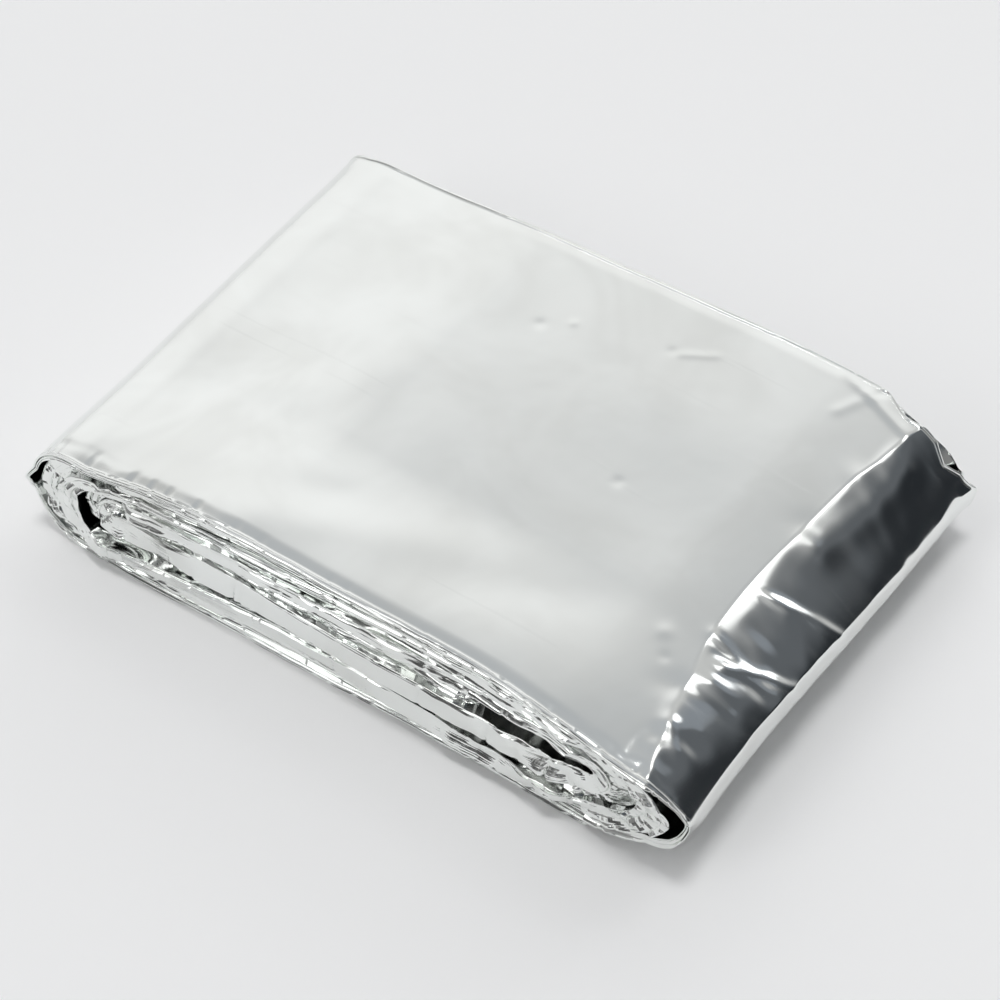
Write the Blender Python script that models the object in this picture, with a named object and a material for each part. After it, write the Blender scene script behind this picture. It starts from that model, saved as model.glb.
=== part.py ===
"""Emergency foil blanket: one metallised film strip, folded over and over into a flat packet.

The film is first pleated into a strip of pressed plies as wide as the packet. The strip is then folded end
over end, so its lengthwise section is a flat spiral: ten runs lie on each other, joined by nested noses at
both ends. The strip's front and back edges are the folds of the plies, and they are uneven from run to run.

X runs along the packet, Y from its front edge to its back edge, and Z up. The packet lies on Z = 0.
Sizes in the tables are in millimetres, and the mesh is written in metres.
"""

import math
from typing import NamedTuple

import bpy
import numpy as np

MM = 0.001

# Driving sizes of the packet
HALF_LENGTH = 60.0
HALF_WIDTH = 40.5
OUTER_END_X = 44.0
INNER_END_X = 41.5
RUN_STEPS = 10
NOSE_STEPS = 12
ACROSS_SHARES = (0.0, 0.055, 0.16, 0.36, 0.64, 0.84, 0.945, 1.0)

# How the packet departs from a plain block
EDGE_SKEW = 2.0
LEFT_SKEW = 0.9
RIGHT_FLARE = 1.4
RIGHT_LIFT = 3.6
LIFT_FROM = 22.0
LIFT_DEPTH = 42.0
RIGHT_TUCK = 1.1
TUCK_DEPTH = 6.0
CORNER_FLARE = 3.2
CORNER_FLARE_FROM = 20.0
CORNER_FLARE_LENGTH = 38.0
LEFT_FLARE = 1.0
LEFT_FLARE_FROM = 34.0
LEFT_FLARE_LENGTH = 14.0
CORNER_PULL = 3.0
CORNER_PULL_FROM = 43.0
CORNER_PULL_LENGTH = 7.0
CORNER_FADE = 0.25
BACK_SWAY = 0.7
BACK_SWAY_LENGTH = 54.0
BACK_SWAY_FROM = -3.0
LEFT_SINK = 0.09
RIGHT_SINK = 0.05
SINK_FROM_LEFT = -18.0
SINK_FROM_RIGHT = 36.0
SINK_LENGTH = 34.0
SWELL_LENGTH = 24.0
SWELL_DEPTH = 26.0
EDGE_DROP = 0.035
EDGE_DROP_WIDTH = 6.0
FOLD_BULGE = 0.45
END_TAPER = 0.6
EAR_REACH = 0.13
SHARP_ANGLE_DEG = 35.0

# Finish of the film
FILM_COLOUR = (0.86, 0.87, 0.87, 1.0)
FILM_ROUGHNESS = 0.12


class Run(NamedTuple):
    """One run of the strip. The table lists them from the ground upwards."""

    thick: float
    gap_above: float
    swell: float
    swell_x: float
    front: float
    back: float
    wave: float
    waves: float


RUNS = (
    Run(thick=1.3, gap_above=0.40, swell=0.0, swell_x=0.0, front=-0.15, back=0.2, wave=0.2, waves=1.3),
    Run(thick=1.5, gap_above=0.40, swell=0.3, swell_x=-28.0, front=-0.3, back=-0.4, wave=0.4, waves=0.9),
    Run(thick=3.0, gap_above=0.45, swell=0.7, swell_x=-4.0, front=0.4, back=0.5, wave=0.5, waves=1.6),
    Run(thick=1.6, gap_above=0.40, swell=0.3, swell_x=34.0, front=-1.3, back=-0.8, wave=0.5, waves=1.1),
    Run(thick=3.8, gap_above=0.60, swell=0.3, swell_x=-34.0, front=0.3, back=0.1, wave=0.6, waves=0.8),
    Run(thick=2.2, gap_above=0.40, swell=0.3, swell_x=20.0, front=-0.5, back=-0.6, wave=0.5, waves=1.4),
    Run(thick=2.1, gap_above=0.40, swell=0.3, swell_x=-40.0, front=0.3, back=0.4, wave=0.4, waves=1.0),
    Run(thick=1.7, gap_above=0.40, swell=0.3, swell_x=28.0, front=-0.4, back=-0.3, wave=0.4, waves=1.7),
    Run(thick=1.4, gap_above=0.45, swell=0.3, swell_x=-44.0, front=-0.8, back=-0.5, wave=0.3, waves=1.2),
    Run(thick=1.2, gap_above=0.0, swell=0.0, swell_x=0.0, front=-0.3, back=-0.3, wave=0.0, waves=0.7),
)
RUN_COUNT = len(RUNS)


class Nose(NamedTuple):
    """One turn at an end of the packet, with its places along X. A low power makes a flatter, creased turn."""

    top_x: float
    tip: float
    low_x: float
    tip_at: float
    top_power: float
    low_power: float
    plies: float


LEFT_NOSES = (
    Nose(top_x=-48.5, tip=-60.6, low_x=-50.5, tip_at=0.46, top_power=2.3, low_power=1.9, plies=1.2),
    Nose(top_x=-47.5, tip=-57.4, low_x=-48.0, tip_at=0.5, top_power=2.2, low_power=2.2, plies=2.6),
    Nose(top_x=-46.0, tip=-54.2, low_x=-46.5, tip_at=0.52, top_power=2.1, low_power=2.3, plies=3.0),
    Nose(top_x=-44.5, tip=-50.6, low_x=-45.0, tip_at=0.5, top_power=2.2, low_power=2.2, plies=2.7),
    Nose(top_x=-43.0, tip=-47.4, low_x=-43.0, tip_at=0.5, top_power=2.1, low_power=2.1, plies=3.0),
)
RIGHT_NOSES = (
    Nose(top_x=47.6, tip=60.9, low_x=43.5, tip_at=0.52, top_power=1.15, low_power=2.9, plies=1.2),
    Nose(top_x=42.0, tip=57.6, low_x=41.0, tip_at=0.49, top_power=1.65, low_power=1.65, plies=4.1),
    Nose(top_x=40.0, tip=52.6, low_x=39.5, tip_at=0.5, top_power=1.8, low_power=1.75, plies=3.6),
    Nose(top_x=38.0, tip=48.3, low_x=38.0, tip_at=0.5, top_power=1.95, low_power=1.9, plies=2.8),
)

# The outer right nose starts further out towards the packet's corners, so its crease is bowed
CREASE_BOW_FRONT = 0.0047
CREASE_BOW_BACK = 0.0026


class Ear(NamedTuple):
    """A dog-ear of the outer film: where on its nose, on which edge, and how far it stands out."""

    nose: str
    turn: float
    edge: str
    out: float
    side: float


EARS = (
    Ear(nose="left", turn=0.50, edge="front", out=1.3, side=0.5),
    Ear(nose="left", turn=0.25, edge="back", out=0.6, side=0.7),
    Ear(nose="right", turn=0.67, edge="front", out=0.3, side=0.8),
    Ear(nose="right", turn=0.25, edge="back", out=0.0, side=-1.6),
    Ear(nose="right", turn=0.50, edge="back", out=0.5, side=0.7),
)


def smooth(value):
    """A soft step from 0 to 1."""
    t = np.clip(value, 0.0, 1.0)
    return t * t * (3 - 2 * t)


def crown(x, y):
    """How high the stack stands, as a share of its full height: it sinks at both ends and at its edges."""
    left = LEFT_SINK * smooth((SINK_FROM_LEFT - x) / SINK_LENGTH)
    right = RIGHT_SINK * smooth((x - SINK_FROM_RIGHT) / SINK_LENGTH)
    edge = EDGE_DROP * smooth((abs(y) - HALF_WIDTH + EDGE_DROP_WIDTH) / EDGE_DROP_WIDTH)
    return 1 - left - right - edge


def underside(index, x, y):
    """Height of a run's lower face: the plies and the air under it, added up from the ground."""
    near_front = smooth((-y - HALF_WIDTH + SWELL_DEPTH) / SWELL_DEPTH)
    height = 0.0
    for run in RUNS[:index]:
        swell = run.swell * math.exp(-(((x - run.swell_x) / SWELL_LENGTH) ** 2)) * near_front
        height += run.thick + run.gap_above + swell
    return height * crown(x, y)


def faces_of(index, x, y):
    """Heights of a run's outer and inner face. The outer one is on top in the upper runs, else below."""
    low = underside(index, x, y)
    high = low + RUNS[index].thick * crown(x, y)
    return (high, low) if index >= RUN_COUNT // 2 else (low, high)


def edge_y(index, x, edge):
    """Where a run's plies end. The top runs flare out at both front corners, and draw in at the back right."""
    run = RUNS[index]
    skew = EDGE_SKEW * x / HALF_LENGTH
    swing = run.wave * math.sin(math.pi * run.waves * x / HALF_LENGTH + index)
    free = max(0.0, 1 - CORNER_FADE * (RUN_COUNT - 1 - index))
    if edge == "front":
        flare = CORNER_FLARE * smooth((x - CORNER_FLARE_FROM) / CORNER_FLARE_LENGTH)
        flare += LEFT_FLARE * smooth((-x - LEFT_FLARE_FROM) / LEFT_FLARE_LENGTH)
        return -HALF_WIDTH - run.front + skew + swing - free * flare
    pull = CORNER_PULL * smooth((x - CORNER_PULL_FROM) / CORNER_PULL_LENGTH)
    sway = BACK_SWAY * math.sin(math.pi * (x - BACK_SWAY_FROM) / BACK_SWAY_LENGTH)
    return HALF_WIDTH + run.back + skew + swing - free * pull + sway


def crease_shift(y):
    """How much further out the outer right nose starts at this distance across the packet."""
    return (CREASE_BOW_FRONT if y < 0 else CREASE_BOW_BACK) * y * y


def nose_curve(nose, starts, tip, high, low, turn, tuck, lift):
    """A point on a nose's outer or inner face. turn goes from 0 at the upper run to 1 at the lower one."""
    tip_height = low + nose.tip_at * (high - low) + lift
    upper = turn <= 0.5
    start, end = (starts[0], high) if upper else (starts[1], low)
    power = nose.top_power if upper else nose.low_power - tuck
    across = abs(math.sin(math.pi * turn)) ** (2 / power)
    along = abs(math.cos(math.pi * turn)) ** (2 / power)
    return start + (tip - start) * across, tip_height + (end - tip_height) * along


def run_rows(index, x_from, x_to):
    """The path's samples along one run, as functions of the distance across the packet."""
    for step in range(RUN_STEPS):
        share = step / RUN_STEPS

        def place(y, share=share):
            first = x_from(y)
            x = first + share * (x_to(y) - first)
            outer, inner = faces_of(index, x, y)
            return (x, outer), (x, inner), x

        yield place, lambda x, edge: edge_y(index, x, edge), None


def nose_rows(nose, top_x, upper, lower, side, downward):
    """The path's samples round one nose, as functions of the distance across the packet."""
    outermost = upper == RUN_COUNT - 1
    outward = -1 if side == "left" else 1
    for step in range(NOSE_STEPS):
        turn = step / NOSE_STEPS if downward else 1 - step / NOSE_STEPS

        def place(y, turn=turn):
            starts = top_x(y), nose.low_x
            tip, tuck, lift = nose.tip, 0.0, 0.0
            if outermost and side == "left":
                tip -= LEFT_SKEW * y / HALF_WIDTH
            elif outermost:
                tip += RIGHT_FLARE * max(0.0, -y / HALF_WIDTH) ** 4
                tuck = RIGHT_TUCK * smooth((TUCK_DEPTH - HALF_WIDTH - y) / TUCK_DEPTH)
                lift = RIGHT_LIFT * smooth((LIFT_FROM - y) / LIFT_DEPTH)
            high_out, high_in = faces_of(upper, starts[0], y)
            low_out, low_in = faces_of(lower, starts[1], y)
            outer = nose_curve(nose, starts, tip, high_out, low_out, turn, tuck, lift)
            inner = nose_curve(nose, starts, tip - outward * nose.plies, high_in, low_in, turn, tuck, lift)
            return outer, inner, starts[0] * (1 - turn) + starts[1] * turn

        def edge_of(x, edge, turn=turn):
            return edge_y(upper, x, edge) * (1 - turn) + edge_y(lower, x, edge) * turn

        yield place, edge_of, (side, turn) if outermost else None


def winding():
    """Every sample of the strip's path, from its loose end under the packet to its end in the middle."""
    def fixed(value):
        return lambda y: value

    def creased(y):
        return RIGHT_NOSES[0].top_x + crease_shift(y)

    rows = []
    lower_from = fixed(OUTER_END_X)
    for turn_number, left in enumerate(LEFT_NOSES):
        lower, upper = turn_number, RUN_COUNT - 1 - turn_number
        left_start = fixed(left.top_x)
        rows += run_rows(lower, lower_from, fixed(left.low_x))
        rows += nose_rows(left, left_start, upper, lower, "left", downward=False)
        if turn_number == len(RIGHT_NOSES):
            rows += run_rows(upper, left_start, fixed(INNER_END_X))
            break
        right = RIGHT_NOSES[turn_number]
        right_start = creased if turn_number == 0 else fixed(right.top_x)
        rows += run_rows(upper, left_start, right_start)
        rows += nose_rows(right, right_start, upper, lower + 1, "right", downward=True)
        lower_from = fixed(right.low_x)
    return rows


def ear_offset(where, edge):
    """How far an ear moves the outer film's edge here, out along X and out along Y."""
    if where is None:
        return 0.0, 0.0
    side, turn = where
    out = along_edge = 0.0
    for ear in EARS:
        if (ear.nose, ear.edge) == (side, edge):
            near = max(0.0, 1 - abs(turn - ear.turn) / EAR_REACH)
            out += near * ear.out
            along_edge += near * ear.side
    return (-out if side == "left" else out), (-along_edge if edge == "front" else along_edge)


def ring_of(row):
    """The closed ring of points at one sample: outer face, back fold, inner face, front fold."""
    place, edge_of, where = row
    outer_side, inner_side, folds = [], [], {}
    for share in ACROSS_SHARES:
        nominal = HALF_WIDTH * (2 * share - 1)
        outer, inner, run_x = place(nominal)
        front, back = edge_of(run_x, "front"), edge_of(run_x, "back")
        y = front + share * (back - front)
        edge = {0.0: "front", 1.0: "back"}.get(share)
        out, side = ear_offset(where, edge) if edge else (0.0, 0.0)
        outer_side.append((outer[0] + out, y + side, outer[1]))
        inner_side.append((inner[0] + out, y + side, inner[1]))
        if edge:
            bulge = FOLD_BULGE if edge == "back" else -FOLD_BULGE
            middle = [(a + b) / 2 for a, b in zip(outer_side[-1], inner_side[-1])]
            folds[edge] = (middle[0], middle[1] + bulge, middle[2])
    return [*outer_side, folds["back"], *reversed(inner_side), folds["front"]]


def strip_mesh(name):
    """The strip as one closed mesh: its rings are joined in order, and both ends are capped."""
    rings = np.array([ring_of(row) for row in winding()])
    # The strip's two ends thin out, as loose pressed plies do
    for end in (0, -1):
        middle = (rings[end] + np.roll(rings[end][::-1], -1, axis=0)) / 2
        rings[end, :, 2] += (1 - END_TAPER) * (middle[:, 2] - rings[end, :, 2])
    count, around = rings.shape[:2]
    points = rings.reshape(-1, 3)
    low, high = points.min(axis=0), points.max(axis=0)
    points = points - [(low[0] + high[0]) / 2, (low[1] + high[1]) / 2, low[2]]
    faces = []
    for i in range(count - 1):
        for j in range(around):
            k = (j + 1) % around
            faces.append((i * around + j, (i + 1) * around + j, (i + 1) * around + k, i * around + k))
    for first, flip in ((0, False), ((count - 1) * around, True)):
        for j in range(len(ACROSS_SHARES) - 1):
            twin = around - 2 - j
            cap = (first + j, first + j + 1, first + twin - 1, first + twin)
            faces.append(cap[::-1] if flip else cap)
        back_fold = first + len(ACROSS_SHARES)
        front_cap = (first, first + around - 2, first + around - 1)
        back_cap = (back_fold - 1, back_fold, back_fold + 1)
        for cap in (front_cap, back_cap):
            faces.append(cap[::-1] if flip else cap)
    mesh = bpy.data.meshes.new(name)
    mesh.from_pydata((points * MM).tolist(), [], faces)
    mesh.validate()
    mesh.shade_smooth()
    mesh.set_sharp_from_angle(angle=math.radians(SHARP_ANGLE_DEG))
    return mesh


def silver_film():
    """Bright metallised film."""
    material = bpy.data.materials.new("silver_film")
    material.use_nodes = True
    shader = material.node_tree.nodes["Principled BSDF"]
    shader.inputs["Base Color"].default_value = FILM_COLOUR
    shader.inputs["Roughness"].default_value = FILM_ROUGHNESS
    shader.inputs["Metallic"].default_value = 1.0
    return material


def main():
    """Clears the scene and builds the packet."""
    for obj in list(bpy.data.objects):
        bpy.data.objects.remove(obj, do_unlink=True)
    mesh = strip_mesh("foil_blanket")
    mesh.materials.append(silver_film())
    bpy.context.scene.collection.objects.link(bpy.data.objects.new("foil_blanket", mesh))


main()
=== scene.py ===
"""Looks of an emergency foil blanket, folded over and over into a flat packet of metallised film.

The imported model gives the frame: one strip of pressed plies, wound into a flat spiral. This script winds
the same spiral again from the same sizes, as film turns whose edges show the single plies, and gives them a
silver finish. Sizes are in millimetres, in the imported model's axes. Meshes are written in metres.
"""

import logging
import math
from dataclasses import dataclass
from enum import Enum

import bpy
import numpy as np
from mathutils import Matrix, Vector


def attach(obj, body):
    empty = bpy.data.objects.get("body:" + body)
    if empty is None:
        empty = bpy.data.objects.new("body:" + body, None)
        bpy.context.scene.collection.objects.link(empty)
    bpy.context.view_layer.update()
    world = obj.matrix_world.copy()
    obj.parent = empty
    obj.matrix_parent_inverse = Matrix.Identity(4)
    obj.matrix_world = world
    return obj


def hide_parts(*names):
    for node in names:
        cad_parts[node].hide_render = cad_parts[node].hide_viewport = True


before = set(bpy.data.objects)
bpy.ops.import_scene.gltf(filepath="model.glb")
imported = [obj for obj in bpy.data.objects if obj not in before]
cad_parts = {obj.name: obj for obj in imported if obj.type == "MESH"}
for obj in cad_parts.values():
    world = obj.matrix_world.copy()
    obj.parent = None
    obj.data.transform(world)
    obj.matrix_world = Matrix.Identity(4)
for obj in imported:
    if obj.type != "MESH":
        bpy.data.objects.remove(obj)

Array = np.ndarray

MM = 0.001
NODE = "foil_blanket"
BODY = "root"
FINE_TURNS = 801

log = logging.getLogger("foil_blanket")


class Kind(Enum):
    """The kinds of stretch along the strip's path."""

    RUN = "run"
    LEFT_NOSE = "left nose"
    RIGHT_NOSE = "right nose"


class Edge(Enum):
    """The strip's two long edges."""

    FRONT = -1
    BACK = 1


# Noise


def soft_step(value: Array) -> Array:
    """A soft step: 0 below 0, 1 above 1, and 3 t squared minus 2 t cubed between them.

    Args:
        value: the value at each point.

    Returns:
        The step at each point.
    """
    t = np.clip(value, 0.0, 1.0)
    return t * t * (3 - 2 * t)


@dataclass(frozen=True)
class Crumple:
    """Repeatable noise for creased film. Each method gives values from -1 to 1."""

    seed: int
    net_size: int = 256
    reach: float = 1500.0

    def broken_line(self, along: Array, spacing: float, salt: int) -> Array:
        """Straight stretches between random heights at unevenly spaced knots.

        Args:
            along: distance along the path in millimetres.
            spacing: the mean distance between knots.
            salt: tells this noise from others.

        Returns:
            The height at each distance.
        """
        draws = np.random.default_rng((self.seed, salt))
        count = int(2 * self.reach / spacing)
        knots = np.cumsum(draws.uniform(0.35, 1.65, count)) * spacing - self.reach
        return np.interp(along, knots, draws.uniform(-1, 1, count))

    def notches(self, along: Array, spacing: float, width: float, salt: int) -> Array:
        """Narrow V notches, up to 1 deep, at unevenly spaced places along the path."""
        draws = np.random.default_rng((self.seed, salt))
        count = int(2 * self.reach / spacing)
        places = np.cumsum(draws.uniform(0.3, 1.7, count)) * spacing - self.reach
        sizes = draws.uniform(0, 1, len(places))
        after = np.clip(np.searchsorted(places, along), 1, len(places) - 1)
        return np.maximum(
            *(sizes[k] * np.clip(1 - np.abs(along - places[k]) / width, 0, 1) for k in (after - 1, after))
        )

    def _heights(self, salt: int) -> Array:
        """Random heights for the corners of a square or triangular net."""
        return np.random.default_rng((self.seed, salt)).uniform(-1, 1, (self.net_size, self.net_size))

    def facets(self, u: Array, v: Array, salt: int) -> Array:
        """Flat triangles: heights at the corners of a triangular net, mixed linearly inside each triangle.

        Args:
            u: the first coordinate, in net cells.
            v: the second coordinate, in net cells.
            salt: tells this noise from others.

        Returns:
            The height at each point.
        """
        heights = self._heights(salt)
        u, v = u + 0.3 * np.sin(1.7 * v + salt), v + 0.3 * np.sin(1.3 * u + salt)
        skew = (u + v) * (math.sqrt(3) - 1) / 2
        a, b = np.broadcast_arrays(u + skew, v + skew)
        i, j = np.floor(a).astype(int), np.floor(b).astype(int)
        fa, fb = a - i, b - j
        lower = (fa > fb).astype(int)
        big, small = np.maximum(fa, fb), np.minimum(fa, fb)
        size = self.net_size
        near = heights[i % size, j % size]
        middle = heights[(i + lower) % size, (j + 1 - lower) % size]
        far = heights[(i + 1) % size, (j + 1) % size]
        return near * (1 - big) + middle * (big - small) + far * small

    def swells(self, u: Array, v: Array, salt: int) -> Array:
        """Soft swells: heights at the corners of a square net, mixed by soft steps in both directions.

        Args:
            u: the first coordinate, in net cells.
            v: the second coordinate, in net cells.
            salt: tells this noise from others.

        Returns:
            The height at each point.
        """
        heights = self._heights(salt)
        u, v = np.broadcast_arrays(u, v)
        i, j = np.floor(u).astype(int), np.floor(v).astype(int)
        a, b = soft_step(u - i), soft_step(v - j)
        size = self.net_size
        low, high = (
            heights[i % size, k % size] * (1 - a) + heights[(i + 1) % size, k % size] * a for k in (j, j + 1)
        )
        return low * (1 - b) + high * b


# The stack of runs


@dataclass(frozen=True)
class Run:
    """One run of the strip. The stack lists its runs from the ground upwards.

    plies has the shares of its height that its three main plies take, from the outer face inwards.
    """

    thick: float
    gap_above: float
    swell: float
    swell_x: float
    front: float
    back: float
    wave: float
    waves: float
    crumple: tuple[float, float, float]
    plies: tuple[float, float, float]


@dataclass(frozen=True)
class Nose:
    """One turn at the end of the packet, with its places along X. A low power makes a creased turn."""

    upper_start: float
    tip: float
    lower_start: float
    tip_share: float
    upper_power: float
    lower_power: float
    plies: float


@dataclass(frozen=True)
class Gape:
    """A place on the front edge where a run's plies stand back, so that its neighbours gape open."""

    run: int
    x: float
    half_length: float
    depth: float


@dataclass(frozen=True)
class Ear:
    """A dog-ear of the outer film: where on its nose, on which edge, and how far it stands out."""

    kind: Kind
    turn: float
    edge: Edge
    out: float
    side: float
    reach: float


@dataclass(frozen=True)
class Stack:
    """The packet's runs and noses, and the heights of the film at every place."""

    half_length: float = 60.0
    half_width: float = 40.5
    outer_end_x: float = 44.0
    inner_end_x: float = 41.5
    edge_skew: float = 2.0
    left_skew: float = 0.9
    left_sink: float = 0.09
    right_sink: float = 0.05
    sink_from_left: float = -18.0
    sink_from_right: float = 36.0
    sink_length: float = 34.0
    swell_length: float = 24.0
    swell_depth: float = 26.0
    edge_drop: float = 0.007
    edge_drop_width: float = 2.4
    tip_flare: float = 1.4
    tip_lift: float = 3.6
    lift_from: float = 22.0
    lift_depth: float = 42.0
    tuck: float = 1.1
    tuck_depth: float = 6.0
    corner_flare: float = 3.2
    corner_flare_from: float = 20.0
    corner_flare_length: float = 38.0
    left_flare: float = 1.0
    left_flare_from: float = 34.0
    left_flare_length: float = 14.0
    corner_pull: float = 3.0
    corner_pull_from: float = 43.0
    corner_pull_length: float = 7.0
    back_sway: float = 0.7
    back_sway_length: float = 54.0
    back_sway_from: float = -3.0
    crease_bow_front: float = 0.0047
    crease_bow_back: float = 0.0026
    pocket_sink: float = 0.085
    pocket_x: float = -41.0
    pocket_length: float = 9.0
    pocket_y: float = -24.0
    pocket_depth: float = 13.0
    fill: float = 0.70
    fill_swing: float = 0.20
    edge_jag: float = 0.13
    back_jag: float = 0.1
    runs: tuple[Run, ...] = (
        Run(1.3, 0.40, 0.0, 0.0, -0.15, 0.2, 0.2, 1.3, crumple=(0.5, 0.15, 0.5), plies=(0.50, 0.30, 0.20)),
        Run(1.5, 0.40, 0.3, -28.0, -0.3, -0.4, 0.4, 0.9, crumple=(0.9, 0.2, 0.8), plies=(0.45, 0.47, 0.08)),
        Run(3.0, 0.45, 0.7, -4.0, 0.4, 0.5, 0.5, 1.6, crumple=(0.9, 0.15, 1.0), plies=(0.14, 0.70, 0.16)),
        Run(1.6, 0.40, 0.3, 34.0, -1.3, -0.8, 0.5, 1.1, crumple=(0.9, 0.5, 1.0), plies=(0.50, 0.40, 0.10)),
        Run(3.8, 0.60, 0.3, -34.0, 0.3, 0.1, 0.6, 0.8, crumple=(1.0, 0.03, 0.9), plies=(0.05, 0.90, 0.05)),
        Run(2.2, 0.40, 0.3, 20.0, -0.5, -0.6, 0.5, 1.4, crumple=(1.0, 0.6, 0.9), plies=(0.40, 0.35, 0.25)),
        Run(2.1, 0.40, 0.3, -40.0, 0.3, 0.4, 0.4, 1.0, crumple=(0.9, 0.45, 0.7), plies=(0.30, 0.50, 0.20)),
        Run(1.7, 0.40, 0.3, 28.0, -0.4, -0.3, 0.4, 1.7, crumple=(0.9, 0.30, 0.8), plies=(0.30, 0.40, 0.30)),
        Run(1.4, 0.45, 0.3, -44.0, -0.8, -0.5, 0.3, 1.2, crumple=(0.9, 0.20, 0.7), plies=(0.40, 0.30, 0.30)),
        Run(1.2, 0.0, 0.0, 0.0, -0.3, -0.3, 0.0, 0.7, crumple=(0.35, 0.25, 0.6), plies=(0.50, 0.25, 0.25)),
    )
    left_noses: tuple[Nose, ...] = (
        Nose(-48.5, -60.6, -50.5, 0.46, 2.3, 1.9, plies=0.7),
        Nose(-47.5, -58.7, -48.0, 0.50, 2.2, 2.2, plies=3.6),
        Nose(-46.0, -54.6, -46.5, 0.52, 2.1, 2.3, plies=3.7),
        Nose(-44.5, -50.6, -45.0, 0.50, 2.2, 2.2, plies=2.7),
        Nose(-43.0, -47.4, -43.0, 0.50, 2.1, 2.1, plies=3.0),
    )
    right_noses: tuple[Nose, ...] = (
        Nose(47.6, 60.9, 43.5, 0.52, 1.15, 2.9, plies=0.7),
        Nose(42.0, 58.3, 41.0, 0.49, 1.65, 1.65, plies=5.1),
        Nose(40.0, 52.6, 39.5, 0.50, 1.8, 1.75, plies=3.9),
        Nose(38.0, 48.3, 38.0, 0.50, 1.95, 1.9, plies=2.8),
    )
    ears: tuple[Ear, ...] = (
        Ear(Kind.LEFT_NOSE, 0.47, Edge.FRONT, out=1.3, side=0.5, reach=0.07),
        Ear(Kind.LEFT_NOSE, 0.25, Edge.BACK, out=0.6, side=0.7, reach=0.10),
        Ear(Kind.RIGHT_NOSE, 0.67, Edge.FRONT, out=0.3, side=0.8, reach=0.12),
        Ear(Kind.RIGHT_NOSE, 0.25, Edge.BACK, out=0.0, side=-1.6, reach=0.09),
        Ear(Kind.RIGHT_NOSE, 0.50, Edge.BACK, out=0.5, side=0.7, reach=0.12),
    )
    gape_taper: float = 5.0
    gapes: tuple[Gape, ...] = (
        Gape(run=5, x=33.5, half_length=9.5, depth=9.0),
        Gape(run=8, x=-50.0, half_length=9.0, depth=1.8),
        Gape(run=3, x=2.0, half_length=24.0, depth=1.6),
        Gape(run=6, x=-46.0, half_length=7.0, depth=2.5),
        Gape(run=4, x=50.0, half_length=9.0, depth=3.0),
    )
    crumple_x: tuple[float, float, float, float] = (-46.0, -31.0, 12.0, 38.0)
    centre: tuple[float, float, float] = (0.4, 0.06, 0.0)
    noise: Crumple = Crumple(seed=7)

    def crown(self, x: Array, y: Array, pocket: float) -> Array:
        """How high the stack stands, as a share of its full height: 1 less the sinks at its ends and edges.

        Args:
            x: place along the packet.
            y: place across the packet.
            pocket: 1 for a run that falls away under the outer film at the front left corner, else 0.

        Returns:
            The share at each place.
        """
        left = self.left_sink * soft_step((self.sink_from_left - x) / self.sink_length)
        right = self.right_sink * soft_step((x - self.sink_from_right) / self.sink_length)
        near_edge = (np.abs(y) - self.half_width + self.edge_drop_width) / self.edge_drop_width
        corner = soft_step((self.pocket_x - x) / self.pocket_length) * soft_step(
            (self.pocket_y - y) / self.pocket_depth
        )
        return 1 - left - right - self.edge_drop * soft_step(near_edge) - pocket * self.pocket_sink * corner

    def underside(self, index: int, x: Array, y: Array) -> Array:
        """Height of a run's lower face: the plies and the air under it, added up, times the crown."""
        height = np.zeros(np.broadcast(x, y).shape)
        for run in self.runs[:index]:
            height = height + run.thick + run.gap_above + self.swell_of(run, x, y)
        return height * self.crown(x, y, self.pocket_of(index))

    def pocket_of(self, index: int) -> float:
        """0 for the top run, which bridges the pocket at the front left corner, and 1 for the others."""
        return 0.0 if index == len(self.runs) - 1 else 1.0

    def swell_of(self, run: Run, x: Array, y: Array) -> Array:
        """How much a run is swollen near the front edge: a bell curve along X that fades out along Y."""
        near_front = soft_step((-y - self.half_width + self.swell_depth) / self.swell_depth)
        return run.swell * np.exp(-(((x - run.swell_x) / self.swell_length) ** 2)) * near_front

    def faces(self, index: int, x: Array, y: Array) -> tuple[Array, Array]:
        """Heights of a run's outer and inner face. The outer one is on top in the stack's upper half.

        The plies also fill their swell and an uneven share of the air above them, so the gap opens and closes.
        """
        low = self.underside(index, x, y)
        run = self.runs[index]
        filled = self.fill + self.fill_swing * self.noise.broken_line(x, 24.0, 60 + index)
        plies = run.thick + run.gap_above * filled + self.swell_of(run, x, y)
        high = low + plies * self.crown(x, y, self.pocket_of(index))
        return (high, low) if index >= len(self.runs) // 2 else (low, high)

    def edge_y(self, index: int, x: Array, edge: Edge) -> Array:
        """Where a run's plies end: the half width, its own reach, the skew, a slow sine wave and small jags.

        The upper runs flare out at both front corners and draw in at the back right one, by soft steps.
        """
        run = self.runs[index]
        drift = self.edge_skew * x / self.half_length
        drift = drift + run.wave * np.sin(math.pi * run.waves * x / self.half_length + index)
        salt = 80 + 2 * index + (edge is Edge.BACK)
        jag = self.edge_jag if edge is Edge.FRONT else self.back_jag
        drift = drift + jag * self.noise.broken_line(x, 8.0, salt)
        drift = drift + 0.4 * jag * self.noise.broken_line(x, 2.5, salt + 40)
        free = self.freedom(index)
        if edge is Edge.FRONT:
            right = self.corner_flare * soft_step((x - self.corner_flare_from) / self.corner_flare_length)
            left = self.left_flare * soft_step((-x - self.left_flare_from) / self.left_flare_length)
            for gape in self.gapes:
                if gape.run == index:
                    inside = (gape.half_length - np.abs(x - gape.x)) / self.gape_taper
                    drift = drift + gape.depth * soft_step(inside)
            return drift - self.half_width - run.front - free * (right + left)
        pull = free * self.corner_pull * soft_step((x - self.corner_pull_from) / self.corner_pull_length)
        sway = self.back_sway * np.sin(math.pi * (x - self.back_sway_from) / self.back_sway_length)
        return drift + self.half_width + run.back - pull + sway

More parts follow.
